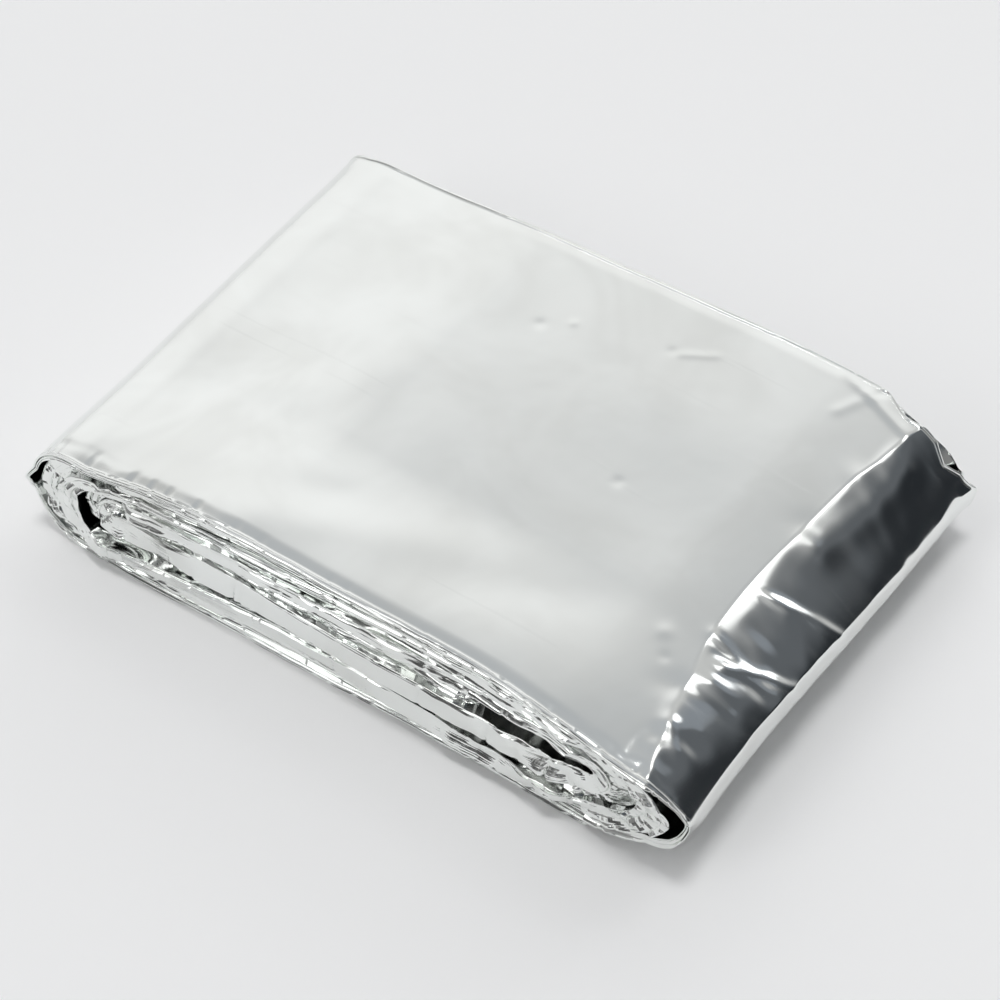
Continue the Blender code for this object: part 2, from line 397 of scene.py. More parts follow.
    def freedom(self, index: int) -> float:
        """How freely a run's corners move: 1 for the top run, falling by a quarter a run to 0."""
        return max(0.0, 1 - 0.25 * (len(self.runs) - 1 - index))

    def crease_x(self, y: Array) -> Array:
        """Where the outer right nose starts: a shallow bow, squared in y, with small uneven scallops."""
        bow = np.where(y < 0, self.crease_bow_front, self.crease_bow_back) * y * y
        return self.right_noses[0].upper_start + bow + 0.35 * self.noise.broken_line(y, 7.0, 41)


@dataclass(frozen=True)
class Stretch:
    """A stretch of the strip's path, with the runs that it belongs to or joins."""

    kind: Kind
    upper: int
    lower: int
    nose: Nose | None = None
    outermost: bool = False


@dataclass
class Rows:
    """What is known at each path sample (rows) and ring sample (columns) of a piece."""

    outer_x: Array
    outer_z: Array
    inner_x: Array
    inner_z: Array
    front_y: Array
    back_y: Array
    flat_x: Array
    turn: Array
    crumple: Array
    height: Array
    plies: Array


@dataclass(frozen=True)
class Winding:
    """The strip's route through the stack, cut into stretches."""

    stack: Stack

    def stretches(self, turn_number: int) -> list[Stretch]:
        """The stretches of one whole turn: a lower run, its left nose, the upper run and its right nose."""
        stack = self.stack
        lower, upper = turn_number, len(stack.runs) - 1 - turn_number
        outermost = turn_number == 0
        found = [
            Stretch(Kind.RUN, lower, lower),
            Stretch(Kind.LEFT_NOSE, upper, lower, stack.left_noses[turn_number], outermost),
            Stretch(Kind.RUN, upper, upper, outermost=outermost),
        ]
        if turn_number < len(stack.right_noses):
            found.append(
                Stretch(Kind.RIGHT_NOSE, upper, lower + 1, stack.right_noses[turn_number], outermost)
            )
        return found

    def run_ends(self, stretch: Stretch, y: Array) -> tuple[Array, Array]:
        """Where a run starts and ends along X, in the path's direction, at each place across the packet."""
        stack = self.stack
        count = len(stack.runs)
        flat = np.zeros_like(y)
        if stretch.lower < count // 2:
            number = stretch.lower
            first = stack.outer_end_x if number == 0 else stack.right_noses[number - 1].lower_start
            return flat + first, flat + stack.left_noses[number].lower_start
        number = count - 1 - stretch.upper
        first = flat + stack.left_noses[number].upper_start
        if number == 0:
            return first, stack.crease_x(y)
        if number == len(stack.right_noses):
            return first, flat + stack.inner_end_x
        return first, flat + stack.right_noses[number].upper_start

    def nose_curve(
        self, nose: Nose, starts: tuple[Array, Array], tip: Array, high: Array, low: Array, turn: Array,
        bend: Array | float = 0.0, tuck: Array | float = 0.0, lift: Array | float = 0.0,
    ) -> tuple[Array, Array]:
        """A nose's outline: a superellipse above the tip and another below it.

        Args:
            nose: the nose's sizes.
            starts: where its upper and lower halves start along X.
            tip: where its tip is along X.
            high: the height of its upper end.
            low: the height of its lower end.
            turn: 0 at the upper end, 1 at the lower end.
            bend: what to add to the upper half's power.
            tuck: what to take off the lower half's power.
            lift: what to add to the tip's height.

        Returns:
            X and Z at each turn.
        """
        tip_z = low + nose.tip_share * (high - low) + lift
        upper = turn <= 0.5
        start = np.where(upper, starts[0], starts[1])
        end = np.where(upper, high, low)
        power = np.where(upper, nose.upper_power + bend, nose.lower_power - tuck)
        across = np.abs(np.sin(math.pi * turn)) ** (2 / power)
        along = np.abs(np.cos(math.pi * turn)) ** (2 / power)
        return start + (tip - start) * across, tip_z + (end - tip_z) * along

    def even_turns(self, nose: Nose, height: float, count: int) -> Array:
        """Turns from 0 to just under 1 whose points are evenly spaced along the nose's outline."""
        fine = np.linspace(0, 1, FINE_TURNS)
        zero = np.zeros_like(fine)
        starts = zero + nose.upper_start, zero + nose.lower_start
        x, z = self.nose_curve(nose, starts, zero + nose.tip, zero + height, zero, fine)
        length = np.concatenate([[0], np.cumsum(np.hypot(np.diff(x), np.diff(z)))])
        return np.interp(np.linspace(0, length[-1], count, endpoint=False), length, fine)

    def length_of(self, stretch: Stretch) -> float:
        """The stretch's length along the middle of the packet, in millimetres."""
        middle = np.zeros(1)
        if stretch.kind is Kind.RUN:
            first, last = self.run_ends(stretch, middle)
            return float(abs(last - first)[0])
        fine = np.linspace(0, 1, FINE_TURNS)[:, None]
        rows = self.nose_rows(stretch, fine, middle)
        return float(np.hypot(np.diff(rows.outer_x[:, 0]), np.diff(rows.outer_z[:, 0])).sum())

    def crumple_of(self, index: int, x: Array) -> Array:
        """How crumpled a run's edges are: its left, middle and right values, joined by straight lines."""
        left, middle, right = self.stack.runs[index].crumple
        return np.interp(x, self.stack.crumple_x, (left, middle, middle, right))

    def run_rows(self, stretch: Stretch, share: Array, y: Array) -> Rows:
        """The film's faces along a run, by the share along it (rows) and the place across (columns)."""
        stack, index = self.stack, stretch.lower
        first, last = self.run_ends(stretch, y)
        x = first + share * (last - first)
        outer, inner = stack.faces(index, x, y + 0 * x)
        run = stack.runs[index]
        return Rows(
            x, outer, x, inner, stack.edge_y(index, x, Edge.FRONT), stack.edge_y(index, x, Edge.BACK),
            flat_x=x, turn=0 * x - 1, crumple=self.crumple_of(index, x), height=run.thick + 0 * x,
            plies=np.tile(run.plies, (len(x), 1)),
        )

    def nose_rows(self, stretch: Stretch, turn: Array, y: Array) -> Rows:
        """The film's faces round a nose, by the turn (rows): 0 at its upper end and 1 at its lower one."""
        stack, nose = self.stack, stretch.nose
        upper, lower = stretch.upper, stretch.lower
        left = stretch.kind is Kind.LEFT_NOSE
        outward = -1 if left else 1
        flat = np.zeros(np.broadcast(turn, y).shape)
        creased = stretch.outermost and not left
        starts = (flat + (stack.crease_x(y) if creased else nose.upper_start), flat + nose.lower_start)
        skew = stack.left_skew * y / stack.half_width if left and stretch.outermost else 0 * y
        flare = stack.tip_flare * np.clip(-y / stack.half_width, 0, None) ** 4 if creased else 0 * y
        tip = flat + nose.tip - skew + flare
        high_out, high_in = stack.faces(upper, starts[0], y + flat)
        low_out, low_in = stack.faces(lower, starts[1], y + flat)
        bend = 0.06 * stack.noise.broken_line(y, 8.0, 43) if creased else 0.0
        front = soft_step((stack.tuck_depth - stack.half_width - y) / stack.tuck_depth) if creased else 0 * y
        lifted = soft_step((stack.lift_from - y) / stack.lift_depth) if creased else 0 * y
        shape = bend, stack.tuck * front, stack.tip_lift * lifted
        mix = turn + flat
        outer = self.nose_curve(nose, starts, tip, high_out, low_out, mix, *shape)
        inner = self.nose_curve(nose, starts, tip - outward * nose.plies, high_in, low_in, mix, *shape)
        x = starts[0] * (1 - mix) + starts[1] * mix
        arc = np.concatenate([[0], np.cumsum(np.hypot(np.diff(outer[0][:, 0]), np.diff(outer[1][:, 0])))])
        arc = arc if turn[0, 0] < turn[-1, 0] else arc[-1] - arc
        runs = stack.runs

        def mixed(top: Array | float, bottom: Array | float) -> Array:
            """The upper run's value turning into the lower run's."""
            return top * (1 - mix) + bottom * mix

        return Rows(
            *outer, *inner,
            mixed(stack.edge_y(upper, x, Edge.FRONT), stack.edge_y(lower, x, Edge.FRONT)),
            mixed(stack.edge_y(upper, x, Edge.BACK), stack.edge_y(lower, x, Edge.BACK)),
            flat_x=starts[0] + outward * arc[:, None],
            turn=mix,
            crumple=mixed(self.crumple_of(upper, x), self.crumple_of(lower, x)),
            height=mixed(runs[upper].thick, runs[lower].thick) + flat,
            plies=np.array(runs[upper].plies) * (1 - turn) + np.array(runs[lower].plies) * turn,
        )


# Film turns


@dataclass(frozen=True)
class Steps:
    """Distances between the samples of a piece, in millimetres, and the samples across its faces."""

    lower_run: float
    elsewhere: float
    outer_columns: int
    inner_columns: int
    ply_columns: int = 10


@dataclass(frozen=True)
class Dent:
    """A small dent or bump of the top film."""

    x: float
    y: float
    radius: float
    rise: float


@dataclass(frozen=True)
class Fold:
    """A soft crease of the outer film, from one flat place to another."""

    x0: float
    y0: float
    x1: float
    y1: float
    width: float
    rise: float


@dataclass(frozen=True)
class Relief:
    """The outer film's own shape over the packet. X is measured along the film."""

    noise: Crumple = Crumple(seed=23)
    broad_rise: float = 0.10
    rolloff_width: float = 1.9
    rolloff: float = 0.10
    tick_depth: float = 0.30
    broad_swell: float = 0.34
    small_swell: float = 0.20
    dents: tuple[Dent, ...] = (
        Dent(-8.2, 21.7, 0.9, -0.06),
        Dent(-3.9, 24.9, 0.7, 0.05),
        Dent(12.1, 29.0, 0.8, -0.05),
        Dent(20.6, 1.8, 0.9, -0.05),
        Dent(42.6, -18.0, 1.3, 0.08),
        Dent(45.2, -21.9, 0.9, -0.06),
    )
    folds: tuple[Fold, ...] = (
        Fold(-48.0, -36.0, -34.0, -12.0, 3.0, 0.10),
        Fold(-44.0, -38.0, -12.0, -26.0, 3.5, -0.10),
        Fold(-40.0, -34.0, -24.0, -2.0, 4.0, 0.08),
        Fold(-20.0, -36.0, 6.0, -24.0, 4.0, 0.08),
        Fold(4.0, -34.0, 30.0, -20.0, 5.0, -0.08),
        Fold(14.0, 29.5, 18.0, 32.0, 0.7, 0.05),
        Fold(37.0, 41.0, 42.3, 39.1, 0.8, 0.12),
        Fold(42.3, 39.1, 50.5, 36.1, 0.8, 0.14),
        Fold(42.3, 39.1, 44.4, 42.5, 0.8, -0.10),
        Fold(42.3, 39.1, 40.0, 34.0, 1.0, 0.06),
        Fold(50.6, 10.0, 53.2, 31.0, 1.7, 0.42),
        Fold(50.1, -2.5, 60.5, 4.8, 0.9, 0.30),
        Fold(51.5, -17.1, 62.0, -6.2, 0.9, 0.30),
        Fold(49.0, -14.0, 53.0, -14.8, 0.9, 0.16),
        Fold(50.0, -25.0, 60.0, -21.0, 2.2, -0.20),
        Fold(50.0, 12.0, 60.0, 15.0, 2.4, -0.16),
        Fold(50.5, 24.0, 58.0, 20.5, 2.0, 0.16),
    )

    def rise(self, x: Array, y: Array) -> Array:
        """Height above the plain film: soft swells, a fall towards the front edge, dents and folds.

        A dent is its rise times exp(-(distance / radius) squared). A fold is the same across its line, and
        fades out past its ends.

        Args:
            x: place along the film.
            y: place across it.

        Returns:
            The height at each place.
        """
        noise = self.noise
        height = self.broad_rise * noise.swells(x / 27 + y / 60, y / 21, 1)
        height = height + 0.3 * self.broad_rise * noise.swells(x / 9, y / 13 + x / 40, 2)
        past = soft_step((-y - 40.5 + self.rolloff_width) / self.rolloff_width)
        height = height - self.rolloff * past
        rough = soft_step((np.abs(x + 5) - 5) / 30)
        height = height + 0.16 * past * rough * noise.facets(x / 3.6, y / 2.4, 3)
        height = height - self.tick_depth * past * noise.notches(x, 4.6, 0.55, 6)
        flap = soft_step((x - 49) / 3) * soft_step((62 - x) / 7)
        height = height + flap * self.broad_swell * noise.swells(x / 9, y / 8.5 + x / 20, 4)
        nearer = 0.35 + 0.65 * soft_step((6 - y) / 20)
        height = height + flap * nearer * self.small_swell * noise.swells(x / 4.0, y / 2.6, 5)
        for dent in self.dents:
            far = ((x - dent.x) ** 2 + (y - dent.y) ** 2) / dent.radius**2
            height = height + dent.rise * np.exp(-far)
        for fold in self.folds:
            dx, dy = fold.x1 - fold.x0, fold.y1 - fold.y0
            length = math.hypot(dx, dy)
            along = ((x - fold.x0) * dx + (y - fold.y0) * dy) / length
            across = ((y - fold.y0) * dx - (x - fold.x0) * dy) / length
            past_end = np.maximum(0, np.maximum(-along, along - length)) / (1.5 * fold.width)
            height = height + fold.rise * np.exp(-((across / fold.width) ** 2) - past_end**2)
        return height


@dataclass(frozen=True)
class PlyEdge:
    """The folded plies that show at a strip's edge, as a row of lobes between grooves."""

    plies: int = 3
    lean: float = 0.17
    depth: float = 0.22
    depth_per_height: float = 0.10
    chamfer: float = 0.30
    squareness: float = 5.0
    squareness_per_height: float = 2.0
    slow_tilt: float = 0.28
    facet_depth: float = 1.2
    tick: float = 0.45
    noise: Crumple = Crumple(seed=11)

    def columns(self, count: int) -> tuple[Array, Array]:
        """Each ring sample's ply number and its share down that ply, closer together near the grooves.

        Args:
            count: samples for each ply.

        Returns:
            Ply numbers and shares.
        """
        local = (1 - np.cos(math.pi * (np.arange(count) + 0.5) / count)) / 2
        return np.repeat(np.arange(self.plies), count), np.tile(local, self.plies)

    def shape(
        self, s: Array, rows: Rows, ply: Array, share: Array, column: int, salt: int
    ) -> tuple[Array, Array]:
        """The lobes at every path sample.

        A lobe has a straight chamfer along its top and a superellipse below. Its height, its depth and its
        tilt are broken lines along the path, and flat facets crumple its face.

        Args:
            s: distance along the path (rows).
            rows: what is known at each sample.
            ply: ply number (columns).
            share: share down that ply (columns).
            column: the ring column of the rows to read.
            salt: tells the two edges apart.

        Returns:
            The share between the outer and the inner face, and how far out the point stands.
        """
        noise, plies = self.noise, self.plies
        crumple = rows.crumple[:, column]
        height = rows.height[:, column]
        rise = rows.outer_z[:, column] - rows.inner_z[:, column]
        up = rise / np.maximum(np.hypot(rise, rows.outer_x[:, column] - rows.inner_x[:, column]), 1e-6)
        swing = 0.18 + 0.36 * crumple
        slow = np.stack([swing * noise.broken_line(s, 21.0, salt + 10 * k) for k in range(plies)])
        quick = np.stack([0.08 * noise.broken_line(s, 4.5, salt + 500 + k) for k in range(plies)])
        weights = rows.plies.T * np.exp(slow + quick)
        bounds = np.concatenate([np.zeros((1, len(s))), np.cumsum(weights, axis=0)]) / weights.sum(axis=0)
        low, high = bounds[ply].T, bounds[ply + 1].T
        tall = (high - low) * height[:, None]
        rough = crumple[:, None]
        square = self.squareness + self.squareness_per_height * tall
        chamfer = np.clip(self.chamfer / tall, 0.05, 0.45)

        def lobe(down: Array) -> Array:
            """A lobe's outline from its top, at 0, down to its foot, at 1."""
            return np.minimum(down / chamfer, 1) * (1 - down**square) ** (1 / square)

        upright = (1 + up[:, None]) / 2
        outline = upright * lobe(share) + (1 - upright) * lobe(1 - share)
        depth = np.stack([noise.broken_line(s, 6.5, salt + 700 + k) for k in range(plies)])[ply].T
        depth = self.depth + self.depth_per_height * tall + depth * (0.06 + 0.22 * rough)
        tilt = np.stack([
            self.slow_tilt * noise.broken_line(s, 13.0, salt + 800 + k)
            + self.lean * up * (0.3 + crumple) + 0.34 * crumple * noise.broken_line(s, 4.5, salt + 900 + k)
            for k in range(plies)
        ])[ply].T
        w = low + (high - low) * share
        x = rows.outer_x[:, [column]]
        z = rows.outer_z[:, [column]] * (1 - w) + rows.inner_z[:, [column]] * w
        big = noise.facets(x / 6.5, z / 3.0, salt + 5)
        small = noise.facets(x / 3.0, z / 1.3, salt + 6)
        out = depth + tilt * (share - 0.5) * 2 * np.minimum(tall, 2.5)
        out = out + self.facet_depth * rough**2 * (big + 0.24 * small)
        pinch = np.stack([noise.notches(s, 4.6, 0.6, salt + 950 + k) for k in range(plies)])[ply].T
        out = out * (1 - (self.tick + 0.20 * rough) * pinch)
        fan = (0.34 + 0.14 * noise.broken_line(s, 16.0, salt + 980))[:, None] * np.maximum(outline, 0)
        return 0.5 + (w - 0.5) * (1 + 2 * fan / height[:, None]), np.maximum(outline * out, -0.1)


@dataclass(frozen=True)
class FilmTurns:
    """One or more neighbouring turns of the strip, as one closed mesh."""

    name: str
    turns: tuple[int, ...]
    edge: PlyEdge
    steps: Steps
    winding: Winding
    relief: Relief | None = None

    def sampled(self) -> list[tuple[Stretch, Array, float]]:
        """Each stretch with its samples, from 0 to 1 along it, and its length."""
        steps = self.steps
        half = len(self.winding.stack.runs) // 2
        found = []
        for number in self.turns:
            for stretch in self.winding.stretches(number):
                length = self.winding.length_of(stretch)
                if stretch.kind is Kind.RUN:
                    step = steps.lower_run if stretch.lower < half else steps.elsewhere
                    share = np.linspace(0, 1, round(length / step), endpoint=False)
                else:
                    count = round(length / steps.elsewhere)
                    height = self.winding.stack.underside(stretch.upper, np.zeros(1), np.zeros(1))[0]
                    share = self.winding.even_turns(stretch.nose, float(height), count)
                    if stretch.kind is Kind.LEFT_NOSE:
                        share = 1 - share
                found.append((stretch, share, length))
        return found

    def rows(self, across: Array) -> tuple[Rows, Array]:
        """All stretches' rows, one under the other, and each row's distance along the path."""
        start = sum(
            self.winding.length_of(stretch)
            for number in range(self.turns[0])
            for stretch in self.winding.stretches(number)
        )
        parts, distances = [], []
        for stretch, share, length in self.sampled():
            make = self.winding.run_rows if stretch.kind is Kind.RUN else self.winding.nose_rows
            parts.append(make(stretch, share[:, None], across))
            distances.append(start + np.linspace(0, length, len(share), endpoint=False))
            start += length
        names = Rows.__dataclass_fields__
        joined = Rows(**{name: np.concatenate([getattr(part, name) for part in parts]) for name in names})
        return joined, np.concatenate(distances)

    def points(self) -> tuple[Array, Array, Array]:
        """The mesh's points in millimetres, path samples by ring samples, and two facts about each one.

        Returns:
            The points, how crumpled each one is, and its place along the film and down through its plies.
        """
        half = self.winding.stack.half_width
        steps = self.steps
        ply, share = self.edge.columns(steps.ply_columns)
        outer_y = np.linspace(-1, 1, steps.outer_columns)
        inner_y = np.linspace(1, -1, steps.inner_columns)
        ones = np.ones(len(ply))
        across = half * np.concatenate([outer_y, ones, inner_y, -ones])
        back = slice(steps.outer_columns, steps.outer_columns + len(ply))
        front = slice(len(across) - len(ply), len(across))
        rows, s = self.rows(across)
        w = np.zeros_like(rows.outer_x)
        out = np.zeros_like(w)
        w[:, back.stop:front.start] = 1
        w[:, back], out[:, back] = self.edge.shape(s, rows, ply, share, back.start, salt=2000)
        w_front, out_front = self.edge.shape(s, rows, ply, share, front.start, salt=1000)
        w[:, front], out[:, front] = w_front[:, ::-1], out_front[:, ::-1]
        out[:, front] *= -1
        x = rows.outer_x * (1 - w) + rows.inner_x * w
        z = rows.outer_z * (1 - w) + rows.inner_z * w
        y = rows.front_y + (across / half + 1) / 2 * (rows.back_y - rows.front_y) + out
        points = np.stack([x, y, z], axis=-1)
        if self.relief:
            points = self.relieved(points, rows, across, steps.outer_columns)
            points = self.eared(points, rows, across)
        points[..., 2] = np.maximum(points[..., 2], 0)
        crumple = rows.crumple * (np.abs(across) >= half)
        film = np.stack([s[:, None] + 0 * w, w * rows.height, 0 * w], axis=-1)
        return points, crumple, film

    def relieved(self, points: Array, rows: Rows, across: Array, columns: int) -> Array:
        """Moves the outer face along its own normals by the relief, except where they point to the ground."""
        along = np.gradient(points, axis=0)
        around = (np.roll(points, -1, axis=1) - np.roll(points, 1, axis=1)) / 2
        normal = np.cross(along, around)
        normal = normal / np.maximum(np.linalg.norm(normal, axis=-1, keepdims=True), 1e-9)
        rise = self.relief.rise(rows.flat_x, points[..., 1])
        shown = np.zeros(len(across))
        shown[:columns] = 1
        seen = soft_step((normal[..., 2] + 0.35) / 0.3)
        return points + normal * (rise * shown * seen)[..., None]

    def eared(self, points: Array, rows: Rows, across: Array) -> Array:
        """Pulls the outer film out at its dog-ears, fading round the nose and across it."""
        half = self.winding.stack.half_width
        moved = points.copy()
        for ear in self.winding.stack.ears:
            nose = (rows.flat_x < 0) if ear.kind is Kind.LEFT_NOSE else (rows.flat_x > 0)
            near = np.clip(1 - np.abs(rows.turn - ear.turn) / ear.reach, 0, 1) * (rows.turn >= 0) * nose
            near = near * soft_step((across * ear.edge.value - half + 5.0) / 5.0)
            outward = -1 if ear.kind is Kind.LEFT_NOSE else 1
            moved[..., 0] += near * ear.out * outward
            moved[..., 1] += near * ear.side * ear.edge.value
        return moved

    def build(self) -> bpy.types.Object:
        """Makes the closed mesh: rings of points joined along the path, with a cap at each end."""
        points, crumple, film = self.points()
        count, around = points.shape[:2]
        index = np.arange(count * around).reshape(count, around)
        turned = np.roll(index, -1, axis=1)
        quads = np.stack([index[:-1], index[1:], turned[1:], turned[:-1]], axis=-1).reshape(-1, 4)
        caps = [index[0].tolist(), index[-1][::-1].tolist()]
        mesh = bpy.data.meshes.new(self.name)
        points = (points.reshape(-1, 3) - self.winding.stack.centre) * MM
        mesh.from_pydata(points, [], quads.tolist() + caps)
        shade = mesh.attributes.new("crumple", "FLOAT", "POINT")
        shade.data.foreach_set("value", crumple.reshape(-1).astype(np.float32))
        place = mesh.attributes.new("film", "FLOAT_VECTOR", "POINT")
        place.data.foreach_set("vector", film.reshape(-1).astype(np.float32))
        faces = self.steps.outer_columns, self.steps.inner_columns
        plies = (around - sum(faces)) // 2
        smooth = np.zeros(around, dtype=bool)
        smooth[: faces[0] - 1] = True
        smooth[faces[0] + plies : faces[0] + plies + faces[1] - 1] = True
        mesh.polygons.foreach_set("use_smooth", np.append(np.tile(smooth, count - 1), [False, False]))
        mesh.update()
        piece = bpy.data.objects.new(self.name, mesh)
        bpy.context.scene.collection.objects.link(piece)
        return piece

    def flat_size(self) -> tuple[float, float]:
        """The pressed strip's width and its length along the path, in metres."""
        winding = self.winding
        length = sum(winding.length_of(part) for number in self.turns for part in winding.stretches(number))
        return 2 * winding.stack.half_width * MM, length * MM


# Materials


class Value:
    """A shader socket that Python operators can work with."""

    def __init__(self, maker: "ShaderMaker", socket: bpy.types.NodeSocket) -> None:
        """Keeps the socket and the maker of its tree."""
        self.maker = maker
        self.socket = socket

    def _math(self, operation: str, *others: "Value | float") -> "Value":
        """Adds a Math node on this value and the others."""
        return self.maker.node("ShaderNodeMath", {"operation": operation}, dict(enumerate((self, *others))))

    def __add__(self, other: "Value | float") -> "Value":
        """This value plus another."""
        return self._math("ADD", other)

    def __mul__(self, other: "Value | float") -> "Value":
        """This value times another."""
        return self._math("MULTIPLY", other)

    __radd__ = __add__
    __rmul__ = __mul__

    def ramp(self, low: float, high: float) -> "Value":
        """A soft step of this value, from 0 at low to 1 at high."""
        inputs = {"Value": self, "From Min": low, "From Max": high}
        return self.maker.node("ShaderNodeMapRange", {"interpolation_type": "SMOOTHSTEP"}, inputs)


class ShaderMaker:
    """Adds nodes to one tree."""

    def __init__(self, tree: bpy.types.NodeTree) -> None:
        """Keeps the tree."""
        self.tree = tree

    def node(self, kind: str, settings: dict, inputs: dict, output: str | int = 0) -> Value:
        """Adds a node.

        Args:
            kind: the node's type name.
            settings: attributes to set first.
            inputs: a value or a number for each socket, by name or number.
            output: the socket to return.

        Returns:
            The output socket, as a value.
        """
        made = self.tree.nodes.new(kind)
        for name, value in settings.items():
            setattr(made, name, value)
        for name, value in inputs.items():
            if isinstance(value, Value):
                self.tree.links.new(value.socket, made.inputs[name])
            else:
                made.inputs[name].default_value = value
        return Value(self, made.outputs[output])

    def noise(self, place: Value, scale: float, detail: float, distortion: float = 0.0) -> Value:
        """Perlin noise at that many cells to a metre."""
        return self.node(
            "ShaderNodeTexNoise", {},
            {"Vector": place, "Scale": scale, "Detail": detail, "Distortion": distortion, "Roughness": 0.55},
        )

    def pyramids(self, place: Value, cells: tuple[float, float, float]) -> Value:
        """Flat-sided pyramids: the largest of the three distances to the nearest of some scattered points."""
        scaled = self.node("ShaderNodeVectorMath", {"operation": "MULTIPLY"}, {0: place, 1: cells})
        return self.node("ShaderNodeTexVoronoi", {"distance": "CHEBYCHEV"}, {"Vector": scaled, "Scale": 1.0})

    def mix_colour(self, share: Value, first: Value | tuple, second: tuple) -> Value:
        """A mix of two colours by share."""
        first = first if isinstance(first, Value) else (*first, 1.0)
        inputs = {0: share, 6: first, 7: (*second, 1.0)}
        return self.node("ShaderNodeMix", {"data_type": "RGBA"}, inputs, output=2)


@dataclass(frozen=True)
class SilverFilm:
    """Bright metallised film: a mirror with a thin haze, fine crumples at its folds and thin scratches."""

    name: str = "silver_film"
    bright: tuple[float, float, float] = (0.895, 0.915, 0.90)
    dull: tuple[float, float, float] = (0.82, 0.835, 0.815)
    smooth: float = 0.07
    hazy: float = 0.17

    def build(self) -> bpy.types.Material:
        """Makes the material."""
        material = bpy.data.materials.new(self.name)
        material.use_nodes = True
        tree = material.node_tree
        shader = tree.nodes["Principled BSDF"]
        shader.inputs["Metallic"].default_value = 1.0
        maker = ShaderMaker(tree)
        place = maker.node("ShaderNodeTexCoord", {}, {}, output="Object")
        crumple = maker.node("ShaderNodeAttribute", {"attribute_name": "crumple"}, {}, output="Fac")
        patches = maker.noise(place, 42.0, 3.0, 0.6)
        haze = patches.ramp(0.35, 0.70)
        slanted = {"Vector": place, "Rotation": (0.0, 0.0, 0.5), "Scale": (30.0, 900.0, 30.0)}
        stretched = maker.node("ShaderNodeMapping", {}, slanted)
        scratches = maker.noise(stretched, 1.0, 1.0).ramp(0.68, 0.74)
        roughness = haze * (self.hazy - self.smooth) + self.smooth + scratches * 0.06
        tree.links.new(roughness.socket, shader.inputs["Roughness"])
        colour = maker.mix_colour(patches.ramp(0.30, 0.75), self.bright, self.dull)
        tree.links.new(colour.socket, shader.inputs["Base Color"])
        fine_folds = maker.pyramids(place, (330.0, 900.0, 900.0))
        folds = maker.pyramids(place, (110.0, 420.0, 420.0)) + fine_folds * 0.4
        ripple = maker.noise(place, 130.0, 2.0, 0.4)
        film = maker.node("ShaderNodeAttribute", {"attribute_name": "film"}, {}, output="Vector")
        along = {0: film, 1: (0.035, 2.3, 1.0)}
        stacked = maker.node("ShaderNodeVectorMath", {"operation": "MULTIPLY"}, along)
        lines = maker.noise(stacked, 1.0, 1.5) * crumple.ramp(0.0, 0.02)
        height = ripple * 0.06 + folds * crumple * 0.25 + lines * 0.50 + scratches * 0.004
        bump = maker.node(
            "ShaderNodeBump", {}, {"Height": height, "Strength": 0.35, "Distance": 0.0006}, output="Normal"
        )
        tree.links.new(bump.socket, shader.inputs["Normal"])
        return material


# The studio


@dataclass(frozen=True)
class Glow:
    """A soft round patch of the studio's sky, by azimuth from +X and height above the horizon, in degrees."""

    azimuth: float
    height: float
    core: float
    rim: float
    level: float
    blue: float = 0.0

    def colour(self) -> tuple[float, float, float]:
        """The patch's colour: its level, less red and more blue by the blue share."""
        return self.level * (1 - self.blue), self.level, self.level * (1 + 1.4 * self.blue)

    def direction(self) -> tuple[float, float, float]:
        """The patch's direction as a unit vector."""
        a, h = math.radians(self.azimuth), math.radians(self.height)
        return math.cos(h) * math.cos(a), math.cos(h) * math.sin(a), math.sin(h)


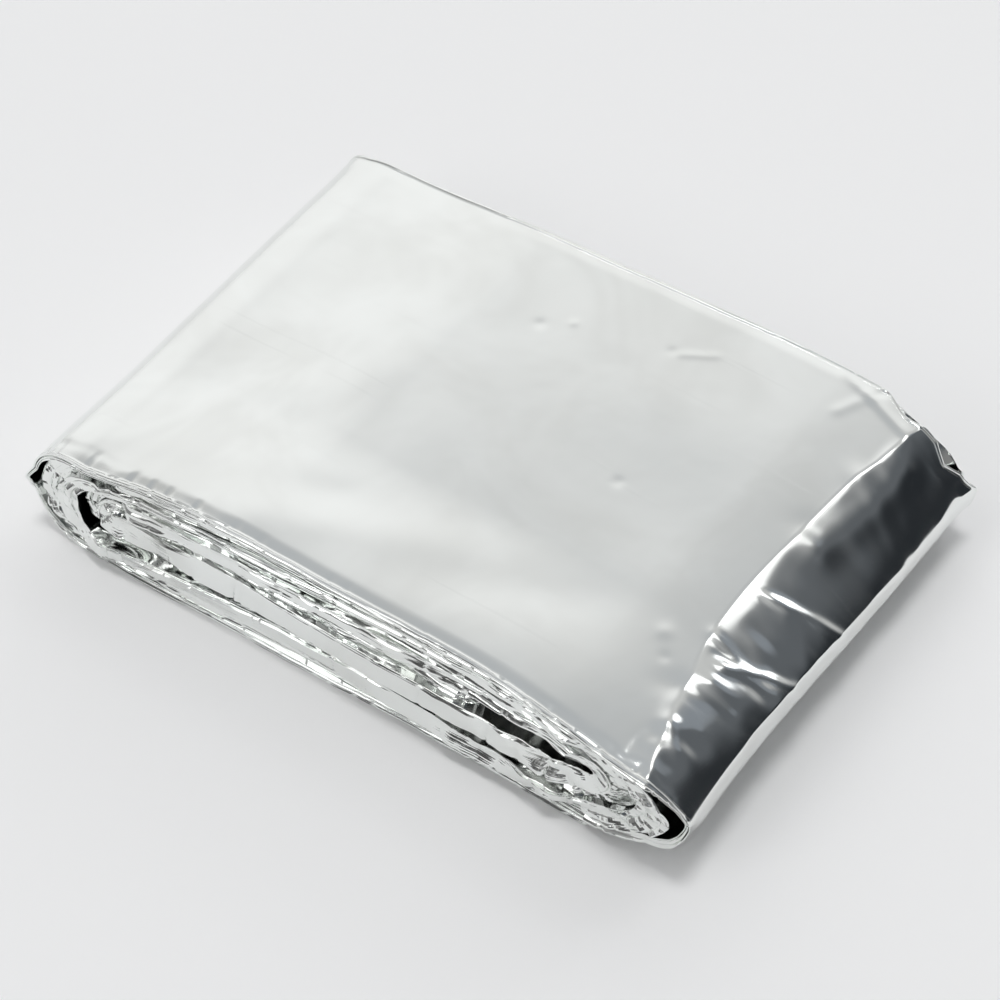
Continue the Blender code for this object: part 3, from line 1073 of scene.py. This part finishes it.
@dataclass(frozen=True)
class Studio:
    """A pale floor, a soft sky of light patches and the photograph's camera."""

    floor_half: float = 0.2
    floor_grey: float = 0.93
    backdrop: float = 0.86
    base: float = 0.58
    glows: tuple[Glow, ...] = (
        Glow(128.0, 16.0, 20.0, 44.0, 0.97),
        Glow(128.0, 80.0, 8.0, 36.0, 0.49, blue=0.03),
        Glow(-150.0, 22.0, 8.0, 34.0, 0.22),
        Glow(-28.0, 22.0, 8.0, 34.0, 0.22),
        Glow(-75.0, 4.0, 8.0, 20.0, 0.12),
        Glow(-110.0, 8.0, 8.0, 20.0, 0.08),
        Glow(-54.0, 46.0, 16.0, 30.0, 0.08, blue=0.1),
        Glow(38.0, 28.0, 12.0, 35.0, 0.12, blue=0.07),
        Glow(34.0, -2.0, 10.0, 34.0, 0.024, blue=0.12),
        Glow(62.0, 36.0, 2.0, 9.0, 0.26, blue=0.08),
        Glow(18.0, 36.0, 2.0, 9.0, 0.24, blue=0.08),
        Glow(76.0, 27.0, 5.0, 11.0, 1.8, blue=0.02),
        Glow(62.0, 52.0, 3.0, 7.0, 1.3),
        Glow(74.0, 58.0, 4.0, 8.5, 2.4),
        Glow(-112.0, 38.0, 11.0, 16.0, 2.2),
        Glow(-120.0, 60.0, 10.0, 16.0, 1.6),
        Glow(-60.0, 86.0, 5.0, 8.0, 22.0),
    )
    azimuth: float = 36.0
    elevation: float = 49.5
    distance: float = 514.0
    focal: float = 118.8
    sensor: float = 36.0
    target: tuple[float, float, float] = (2.0, -3.76, 12.0)

    def add_floor(self) -> None:
        """Adds the floor, just under the packet."""
        half = self.floor_half
        corners = [(-half, -half, 0), (half, -half, 0), (half, half, 0), (-half, half, 0)]
        mesh = bpy.data.meshes.new("floor")
        mesh.from_pydata(corners, [], [(0, 1, 2, 3)])
        floor = bpy.data.objects.new("floor", mesh)
        bpy.context.scene.collection.objects.link(floor)
        material = bpy.data.materials.new("pale_floor")
        material.use_nodes = True
        shader = material.node_tree.nodes["Principled BSDF"]
        shader.inputs["Base Color"].default_value = (self.floor_grey, self.floor_grey, self.floor_grey, 1.0)
        shader.inputs["Roughness"].default_value = 0.9
        shader.inputs["Specular IOR Level"].default_value = 0.1
        mesh.materials.append(material)

    def add_sky(self) -> None:
        """Adds the sky: a base level, with each glow laid over it by the angle to its direction."""
        world = bpy.data.worlds.new("studio_sky")
        bpy.context.scene.world = world
        world.use_nodes = True
        maker = ShaderMaker(world.node_tree)
        direction = maker.node("ShaderNodeTexCoord", {}, {}, output="Generated")
        sky = maker.node("ShaderNodeCombineXYZ", {}, {0: self.base, 1: self.base, 2: self.base})
        for glow in self.glows:
            facing = maker.node(
                "ShaderNodeVectorMath", {"operation": "DOT_PRODUCT"},
                {0: direction, 1: glow.direction()}, output="Value",
            )
            share = facing.ramp(math.cos(math.radians(glow.rim)), math.cos(math.radians(glow.core)))
            sky = maker.mix_colour(share, sky, glow.colour())
        seen = maker.node("ShaderNodeLightPath", {}, {}, output="Is Camera Ray")
        sky = maker.mix_colour(seen, sky, (self.backdrop,) * 3)
        background = world.node_tree.nodes["Background"]
        world.node_tree.links.new(sky.socket, background.inputs["Color"])

    def add_camera(self) -> None:
        """Adds the camera at the photograph's angle, looking at the packet's middle."""
        data = bpy.data.cameras.new("camera")
        data.lens, data.sensor_width = self.focal, self.sensor
        data.clip_start = 0.01
        camera = bpy.data.objects.new("camera", data)
        az, el = math.radians(self.azimuth), math.radians(self.elevation)
        back = Vector((math.sin(az) * math.cos(el), -math.cos(az) * math.cos(el), math.sin(el)))
        camera.location = (Vector(self.target) + back * self.distance) * MM
        camera.rotation_euler = back.to_track_quat("Z", "Y").to_euler()
        bpy.context.scene.collection.objects.link(camera)
        bpy.context.scene.camera = camera

    def build(self) -> None:
        """Adds all of the studio."""
        self.add_floor()
        self.add_sky()
        self.add_camera()
        bpy.context.scene.view_settings.view_transform = "Standard"


def film_pieces(winding: Winding) -> list[FilmTurns]:
    """The turns of the strip, from the outer film to the core."""
    fine = Steps(lower_run=0.9, elsewhere=0.5, outer_columns=150, inner_columns=8)
    edges = Steps(lower_run=0.45, elsewhere=0.45, outer_columns=6, inner_columns=6)
    hem = PlyEdge(depth=0.34, chamfer=0.42, facet_depth=0.35)
    return [
        FilmTurns("outer_turn", (0,), hem, fine, winding, Relief()),
        FilmTurns("middle_turns", (1, 2), PlyEdge(noise=Crumple(seed=12)), edges, winding),
        FilmTurns("core_turns", (3, 4), PlyEdge(noise=Crumple(seed=13)), edges, winding),
    ]


def main() -> None:
    """Builds the film, dresses it and sets up the studio."""
    logging.basicConfig(level=logging.INFO, format="%(message)s")
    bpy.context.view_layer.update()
    winding = Winding(Stack())
    film = SilverFilm().build()
    below = None
    for turns in film_pieces(winding):
        piece = turns.build()
        piece.data.materials.append(film)
        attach(piece, BODY)
        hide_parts(NODE)
        turns.flat_size()
        below = below or piece
        count = len(piece.data.polygons)
        log.info("%s: %d faces, strip %.3f by %.3f m", turns.name, count, *turns.flat_size())
    Studio().build()


if __name__ == "__main__":
    main()
